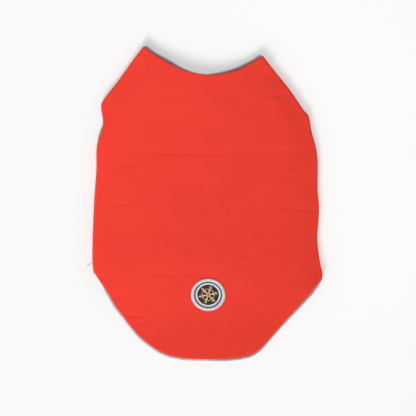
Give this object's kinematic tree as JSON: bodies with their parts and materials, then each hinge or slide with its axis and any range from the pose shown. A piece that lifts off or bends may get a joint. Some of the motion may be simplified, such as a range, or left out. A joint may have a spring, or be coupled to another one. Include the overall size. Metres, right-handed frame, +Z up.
{
  "type": "cat coat laid flat",
  "caption": "Padded cat coat laid flat with its back up, quilted by seams across, with a scooped neck, a rounded tail flap, leg holes, piped edges and a round badge.",
  "frame": {"origin": "middle of the coat's box, on the surface that it lies on", "axes": "+X to the right of the picture, +Y from the tail hem towards the neck, +Z up out of the back panel"},
  "size_m": [0.2446, 0.335, 0.0126],
  "materials": {
    "red_cloth": "matte peached polyester shell over light padding",
    "grey_piping": "grey reflective ribbon piping",
    "badge_ground": "black woven badge cloth",
    "badge_thread": "pale grey border stitching"
  },
  "bodies": {
    "root": {"back_panel": "red_cloth", "belly_panel": "red_cloth", "neck_piping_back": "grey_piping", "neck_piping_chest": "grey_piping", "hem_piping": "grey_piping", "belly_hem_piping": "grey_piping", "leg_piping_left": "grey_piping", "leg_piping_right": "grey_piping", "badge_disc": "badge_ground", "badge_border": "badge_thread"}
  },
  "joints": []
}
